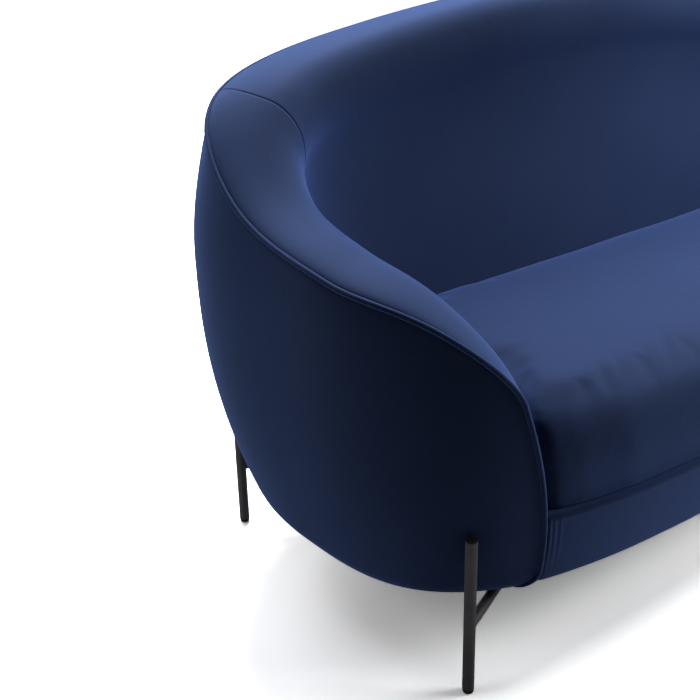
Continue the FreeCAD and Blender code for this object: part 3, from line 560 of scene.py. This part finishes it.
# front rail with a few short soft pleats beside each front seam
PLEATS = ((0.009, 0.0013), (0.017, 0.0010), (0.027, 0.0006))  # distance from the seam, height
PLEAT_WIDTH, PLEAT_LEVEL, PLEAT_REACH = 0.0028, 0.85, 0.42
FINE_SHARE = 0.08
RAIL_SEWN = (0.0030, 0.004)
RAIL_RIPPLE = (0.2, 0.0012)
seam_shares = np.linspace(0, FINE_SHARE, 70)
middle_shares = np.linspace(FINE_SHARE, 0.92, 90)
shares = np.concatenate([seam_shares[:-1], middle_shares[:-1], 1 - seam_shares[::-1]])
rail_levels = np.concatenate([
    UNDER_ROWS, graded(26)[:-1], np.linspace(1, 2, 10)[:-1], np.linspace(2, 3, 8),
])
share_grid, level_grid = np.meshgrid(shares, rail_levels, indexing="ij")
rail = rail_face(share_grid, level_grid)
from_left = run_length(rail, 0)
from_seam = np.minimum(from_left, from_left[-1] - from_left)
pleats = sum(dip(from_seam - place, height, PLEAT_WIDTH) for place, height in PLEATS)
pleats *= np.exp(-((level_grid - PLEAT_LEVEL) / PLEAT_REACH) ** 2)
rail_moves = dip(from_seam, *RAIL_SEWN) - pleats + ripple(rail, *RAIL_RIPPLE, 5)
rail_object = grid_object("velvet_front_rail", rail - normals_of(rail) * rail_moves[..., None])
finish_piece(rail_object, "frame", ["front_rail_cover"], navy)

# piping, curling in under the arm at the foot of each front seam
PIPING_CURL, CURL_HEIGHT = 2.6, 0.045  # degrees, metres
PIPING_INSET = -0.0005
PIPING_BEND = 0.012  # the upright run stops this far below the rim and bends into it
heights = np.linspace(PANEL_BOTTOM, RIM[0, 1] - PIPING_BEND, 60)
curl = PIPING_CURL * np.clip(1 - (heights - SHELL_BOTTOM) / CURL_HEIGHT, 0, 1) ** 3
left_front = shell(front_angle(heights) + curl, heights, PIPING_INSET)
stations = np.linspace(0, 2 * BACK, 420)
top = rim_height(left_of(stations))
rim = mirrored(stations, shell(station_angle(left_of(stations), top)[0], top, PIPING_INSET))
right_front = left_front[::-1] * np.array([-1, 1, 1])
path = np.concatenate([left_front, rim, right_front])
piping = grid_object("velvet_piping", tube_points(path, PIPING_RADIUS), flip=True, wrap=True)
finish_piece(piping, "frame", ["piping"], navy_cord)


# ---------------------------------------------------------------- seat cushion

CUSHION_ROWS = (
    # share of the height, how far the side is set in
    (-0.25, 0.000), (0.0, 0.000), (0.16, 0.000), (0.35, 0.000), (0.52, 0.001), (0.66, 0.005),
    (0.78, 0.012), (0.88, 0.023), (0.95, 0.037), (1.0, 0.060),
)
CROWN, SWELL, SIDE_SWELL = 0.006, 0.012, 0.0015
CROWN_REACH = (0.72, 0.34)
CUSHION_RIPPLE = (0.30, 0.0022)
CUSHION_GAP = 0.003  # between the cushion and the inner panels
VOXEL = 0.009
PINNED_HEIGHT = 0.012
CLOTH_FRAMES, CLOTH_PRESSURE, CLOTH_STIFFNESS = 20, 4.0, 25.0
EDGE_HEIGHT = 0.0045
EDGE_STEPS = (
    # set in and sunk as shares of EDGE_HEIGHT, then how far shrunk towards the middle
    (0.10, 0.45, 1.0), (0.40, 0.80, 1.0), (0.95, 0.97, 1.0), (2.0, 1.0, 1.0), (2.0, 1.0, 0.95),
    (2.0, 1.0, 0.8), (2.0, 1.0, 0.6), (2.0, 1.0, 0.4), (2.0, 1.0, 0.2), (2.0, 1.0, 0.05),
)
CUSHION_CENTRE = np.array([0.0, -0.130])


def inner_wall(stations, height):
    """Plan angle and thickness of the left inner wall at one height."""
    angle, fullness = station_angle(stations, height)
    foot = rim_height(stations) - roll_drop(stations) * fullness
    return angle, wall_thickness(angle, height, fullness, foot)


def both_halves(side, front):
    """Closed outline whose left half runs from mid back along the side to mid front."""
    half = np.concatenate([side, front])
    return np.concatenate([half, half[-2:0:-1] * np.array([-1, 1, 1])])


def cushion_outline(inset, height):
    stations = np.concatenate([np.linspace(BACK, 0.3, 60), [0.24, 0.18, 0.13]])
    angle, wall = inner_wall(stations, height)
    side = shell(angle, np.full_like(angle, height), wall + CUSHION_GAP + inset)
    # the front comes out to the seam in a tight corner
    seam = float(front_angle(height))
    turns = np.array([seam - 0.5, seam - 1.8, seam - 4.5, seam - 10, -68, -78, -90])
    depths = np.array([0.020, 0.014, 0.012, 0.011, 0.011, 0.011, 0.011])
    return both_halves(side, shell(turns, np.full_like(turns, height), depths + inset))


def ringed_mesh(name, rings):
    """Closed mesh through rings of points, with a flat face at each end."""
    points = np.array(rings)
    rows, count = points.shape[:2]
    faces = []
    for i in range(rows - 1):
        for j in range(count):
            k = (j + 1) % count
            faces.append((i * count + j, i * count + k, (i + 1) * count + k, (i + 1) * count + j))
    faces.append(tuple(range(count))[::-1])
    faces.append(tuple(range((rows - 1) * count, rows * count)))
    return mesh_object(name, points.reshape(-1, 3), faces)


def baked(piece):
    """Replaces the piece's mesh by the one its modifiers give now."""
    graph = bpy.context.evaluated_depsgraph_get()
    mesh = bpy.data.meshes.new_from_object(piece.evaluated_get(graph))
    piece.modifiers.clear()
    piece.data = mesh
    mesh.polygons.foreach_set("use_smooth", [True] * len(mesh.polygons))


def vertex_array(mesh):
    flat = np.empty(len(mesh.vertices) * 3)
    mesh.vertices.foreach_get("co", flat)
    return flat.reshape(-1, 3)


def swollen(piece, pinned_below):
    """Where Cloth pressure takes each vertex of a stuffed piece after a short run."""
    still = vertex_array(piece.data)
    group = piece.vertex_groups.new(name="pinned")
    group.add([int(i) for i in np.nonzero(still[:, 2] < pinned_below)[0]], 1.0, "REPLACE")
    cloth = piece.modifiers.new("cloth", "CLOTH")
    settings = cloth.settings
    settings.vertex_group_mass = "pinned"
    settings.use_pressure = True
    settings.uniform_pressure_force = CLOTH_PRESSURE
    settings.tension_stiffness = CLOTH_STIFFNESS
    settings.compression_stiffness = CLOTH_STIFFNESS
    settings.bending_stiffness = 1.0
    settings.effector_weights.gravity = 0.0
    cloth.collision_settings.use_collision = False
    cloth.point_cache.frame_end = CLOTH_FRAMES
    scene = bpy.context.scene
    for frame_number in range(1, CLOTH_FRAMES + 1):
        scene.frame_set(frame_number)
    graph = bpy.context.evaluated_depsgraph_get()
    moved = vertex_array(piece.evaluated_get(graph).data)
    piece.modifiers.clear()
    piece.vertex_groups.clear()
    scene.frame_set(1)
    return moved


def square_off(mesh):
    """Cuts a cushion off just above the deck and turns its cover under, as at a sewn edge."""
    form = bmesh.new()
    form.from_mesh(mesh)
    everything = form.verts[:] + form.edges[:] + form.faces[:]
    cut = {"plane_co": (0, 0, CUSHION_BOTTOM + EDGE_HEIGHT), "plane_no": (0, 0, -1)}
    bmesh.ops.bisect_plane(form, geom=everything, clear_outer=True, **cut)
    form.normal_update()
    edges = [edge for edge in form.edges if edge.is_boundary]
    start = {}
    for vertex in {corner for edge in edges for corner in edge.verts}:
        outward = Vector((vertex.normal.x, vertex.normal.y, 0)).normalized()
        start[vertex] = (vertex.co.copy(), outward)
    for share, sunk, shrink in EDGE_STEPS:
        made = bmesh.ops.extrude_edge_only(form, edges=edges)["geom"]
        edges = [item for item in made if isinstance(item, bmesh.types.BMEdge) and item.is_boundary]
        fresh = [item for item in made if isinstance(item, bmesh.types.BMVert)]
        following = {}
        for vertex in fresh:
            others = (edge.other_vert(vertex) for edge in vertex.link_edges)
            old = next(other for other in others if other in start)
            place, outward = start[old]
            middle = Vector((*CUSHION_CENTRE, place.z))
            vertex.co = middle + (place - outward * share * EDGE_HEIGHT - middle) * shrink
            vertex.co.z = place.z - sunk * EDGE_HEIGHT
            following[vertex] = start[old]
        start = following
    form.to_mesh(mesh)
    form.free()


def close_underneath(mesh):
    """Closes the hole left in the middle of the underside."""
    form = bmesh.new()
    form.from_mesh(mesh)
    bmesh.ops.holes_fill(form, edges=[edge for edge in form.edges if edge.is_boundary], sides=0)
    bmesh.ops.recalc_face_normals(form, faces=form.faces)
    form.to_mesh(mesh)
    form.free()
    mesh.polygons.foreach_set("use_smooth", [True] * len(mesh.polygons))


def make_cushion():
    height = CUSHION_TOP - CUSHION_BOTTOM
    rows = [(inset, CUSHION_BOTTOM + height * share) for share, inset in CUSHION_ROWS]
    rings = [cushion_outline(inset, level) for inset, level in rows]
    piece = ringed_mesh("velvet_seat_cushion", rings)
    remesh = piece.modifiers.new("remesh", "REMESH")
    remesh.mode = "VOXEL"
    remesh.voxel_size = VOXEL
    smooth = piece.modifiers.new("smooth", "SMOOTH")
    smooth.iterations = 5
    baked(piece)
    points = vertex_array(piece.data)
    across = np.clip(1 - (points[:, 0] / CROWN_REACH[0]) ** 2, 0, 1)
    deep = np.clip(1 - ((points[:, 1] - CUSHION_CENTRE[1]) / CROWN_REACH[1]) ** 2, 0, 1)
    high = np.clip((points[:, 2] - CUSHION_BOTTOM) / height, 0, 1) ** 2
    points[:, 2] += CROWN * across * deep * high
    piece.data.vertices.foreach_set("co", points.ravel())
    moved = swollen(piece, CUSHION_BOTTOM + PINNED_HEIGHT) - points
    limit = SIDE_SWELL + (SWELL - SIDE_SWELL) * high
    size = np.maximum(np.linalg.norm(moved, axis=1), 1e-6)
    points = points + moved * np.minimum(1, limit / size)[:, None]
    points[:, 2] += ripple(points, *CUSHION_RIPPLE, 31) * high
    piece.data.vertices.foreach_set("co", points.ravel())
    square_off(piece.data)
    piece.modifiers.new("finer", "SUBSURF").levels = 1
    baked(piece)
    close_underneath(piece.data)
    return piece


CUSHION_NODES = ["seat_cushion_cover", "seat_cushion_foam"]
cushion = finish_piece(make_cushion(), "seat_cushion", CUSHION_NODES, navy)


# ---------------------------------------------------------------- lining cloth

SHARES = (1.0, 0.996, 0.985, 0.95, 0.9, 0.82, 0.72, 0.6, 0.48, 0.36, 0.24, 0.12, 0.02)
HEM_FROM, HEM_THICKNESS = 0.99, 1.4
LINING_RIPPLE = (0.12, 0.0004)
DECK_GAP, DECK_FRONT_INSET = 0.004, 0.062
UNDER_INSET, BASE_INSET = 0.006, 0.009


def stretched_cloth(name, outline, height, thickness, droop, seed, body, node):
    """Flat closed cloth, hemmed round its edge, with the slight waves of stapled lining."""
    middle = outline.mean(axis=0)
    top, under = [], []
    for share in SHARES:
        ring = middle + (outline - middle) * share
        ring[:, 2] = height + thickness - droop * (1 - share ** 4)
        inside = share < HEM_FROM
        ring[:, 2] += ripple(ring, *LINING_RIPPLE, seed) * inside
        top.append(ring)
        under.append(ring - np.array([0, 0, thickness * (1.0 if inside else HEM_THICKNESS)]))
    piece = ringed_mesh(name, under[::-1] + top)
    finish_piece(piece, body, [node], lining)
    return piece


def plan_outline(points):
    """The outline laid flat at height 0."""
    points = np.array(points)
    points[:, 2] = 0.0
    return points


def deck_outline():
    """Outline of the seat deck inside the inner panels and behind the front rail."""
    angle, wall = inner_wall(np.linspace(BACK, 0.35, 50), INNER_BOTTOM)
    side = shell(angle, np.full_like(angle, INNER_BOTTOM), wall + DECK_GAP)
    turns = np.array([-56.0, -66.0, -78.0, -90.0])
    return both_halves(side, shell(turns, np.full_like(turns, INNER_BOTTOM), DECK_FRONT_INSET))


deck_plan = plan_outline(deck_outline())
deck = stretched_cloth("deck_cloth", deck_plan, RAIL_TOP - 0.0010, 0.0005, 0.0006, 41,
                       "frame", "seat_deck_cover")
# round from 180 degrees downward, so that the cloth's faces point out
round_angles = np.linspace(180, -180, 180, endpoint=False)
under_plan = plan_outline(shell(round_angles, SHELL_BOTTOM, UNDER_INSET))
under = stretched_cloth("underside_cloth", under_plan, SHELL_BOTTOM - 0.0018, 0.0006, 0.0, 42,
                        "frame", "dust_cover")
base_plan = plan_outline(cushion_outline(BASE_INSET, CUSHION_BOTTOM))
base = stretched_cloth("cushion_underside", base_plan, CUSHION_BOTTOM + 0.0002, 0.0005, 0.0, 43,
                       "seat_cushion", "seat_cushion_base")

# ---------------------------------------------------------------- floor, light and camera

# the camera sees the floor brighter than it is for the light that bounces off it
FLOOR_SEEN, FLOOR_BOUNCE = (4.0, 4.0, 4.03), (0.45, 0.45, 0.45)
FLOOR_SPOTS = 1.02
# glow the camera sees, by distance from the sofa over FLOOR_REACH: a little near the sofa, painted
# light over its shadows, white far away
FLOOR_GLOW = [(0.0, (0.13, 0.13, 0.13)), (0.12, (0.18, 0.18, 0.18)), (0.45, (1.2, 1.2, 1.2))]
FLOOR_REACH, FLOOR_HALF = 10.0, 30
SKY = [(0.0, (0.10, 0.10, 0.10)), (0.25, (0.25, 0.25, 0.26)), (0.8, (1.0, 1.0, 1.0))]
SKY_STRENGTH = 0.02
CORNERS = ((-1, -1), (1, -1), (1, 1), (-1, 1))
floor_corners = [(x * FLOOR_HALF, y * FLOOR_HALF, 0) for x, y in CORNERS]
floor = mesh_object("floor", floor_corners, [(0, 1, 2, 3)])
floor_material, floor_tree, floor_bsdf = new_material("pale_floor")
floor_place = object_coordinates(floor_tree)
floor_noise = noise(floor_tree, 2.0, 2.0, 0.5, floor_place)
floor_stops = [(0.3, FLOOR_SEEN), (0.7, tuple(c * FLOOR_SPOTS for c in FLOOR_SEEN))]
seen = ramp(floor_tree, floor_noise.outputs["Fac"], floor_stops)
ray = floor_tree.nodes.new("ShaderNodeLightPath")
floor_tree.links.new(mixed(floor_tree, ray.outputs["Is Camera Ray"], FLOOR_BOUNCE, seen),
                     floor_bsdf.inputs["Base Color"])
# the floor glows for the camera and lights nothing: a little next to the sofa, painted light that
# lifts its shadows there, and white far away where the lamps fall off
distance = floor_tree.nodes.new("ShaderNodeVectorMath")
distance.operation = "LENGTH"
floor_tree.links.new(floor_place, distance.inputs[0])
reach = floor_tree.nodes.new("ShaderNodeMath")
reach.operation = "DIVIDE"
reach.inputs[1].default_value = FLOOR_REACH
floor_tree.links.new(distance.outputs["Value"], reach.inputs[0])
glow = ramp(floor_tree, reach.outputs["Value"], FLOOR_GLOW)
floor_tree.links.new(mixed(floor_tree, ray.outputs["Is Camera Ray"], (0.0, 0.0, 0.0), glow),
                     floor_bsdf.inputs["Emission Color"])
floor_bsdf.inputs["Emission Strength"].default_value = 1.0
floor_bsdf.inputs["Roughness"].default_value = 1.0
floor_bsdf.inputs["Specular IOR Level"].default_value = 0.0
floor.data.materials.append(floor_material)

world = bpy.data.worlds.new("studio")
world.use_nodes = True
sky_tree = world.node_tree
direction = sky_tree.nodes.new("ShaderNodeTexCoord").outputs["Generated"]
split = sky_tree.nodes.new("ShaderNodeSeparateXYZ")
sky_tree.links.new(direction, split.inputs["Vector"])
background = sky_tree.nodes["Background"]
sky_tree.links.new(ramp(sky_tree, split.outputs["Z"], SKY), background.inputs["Color"])
background.inputs["Strength"].default_value = SKY_STRENGTH
bpy.context.scene.world = world
bpy.context.scene.view_settings.view_transform = "Standard"


LIGHT_TARGET = (0, 0, 0.4)


def area_light(name, place, width, height, power):
    light = bpy.data.lights.new(name, "AREA")
    light.shape = "RECTANGLE"
    light.size, light.size_y = width, height
    light.energy = power
    obj = bpy.data.objects.new(name, light)
    bpy.context.scene.collection.objects.link(obj)
    obj.location = place
    obj.rotation_mode = "QUATERNION"
    obj.rotation_quaternion = (Vector(LIGHT_TARGET) - Vector(place)).to_track_quat("-Z", "Y")


LIGHTS = (
    # name, place, width, height, watts
    ("above_back", (0.6, 1.6, 3.4), 1.6, 1.4, 71),
    ("above_right", (2.2, -0.4, 3.4), 1.4, 1.4, 57),
    ("front_right", (2.6, -2.4, 2.2), 1.8, 1.6, 42),
    ("back_left", (-0.6, 3.0, 2.4), 2.4, 1.6, 34),
    ("right", (3.2, 0.2, 2.2), 1.8, 1.6, 8),
    ("left", (-3.2, 1.2, 1.8), 1.6, 1.6, 9),
)
for light_name, place, width, height, watts in LIGHTS:
    area_light(light_name, place, width, height, watts)

AZIMUTH, ELEVATION, ROLL = math.radians(-38.6), math.radians(23.78), math.radians(-1.42)
camera = bpy.data.objects.new("camera", bpy.data.cameras.new("camera"))
bpy.context.scene.collection.objects.link(camera)
SENSOR_WIDTH = 36.0  # millimetres
camera.data.sensor_width = SENSOR_WIDTH
camera.data.lens = SENSOR_WIDTH * 1122 / 700
camera.location = (-1.733, -1.236 + CENTRE_Y, 1.138)
level_part = math.cos(ELEVATION)
back = Vector((
    math.sin(AZIMUTH) * level_part, -math.cos(AZIMUTH) * level_part, math.sin(ELEVATION),
))
roll = Matrix.Rotation(ROLL, 4, "Z").to_quaternion()
camera.rotation_mode = "QUATERNION"
camera.rotation_quaternion = (-back).to_track_quat("-Z", "Y") @ roll
bpy.context.scene.camera = camera
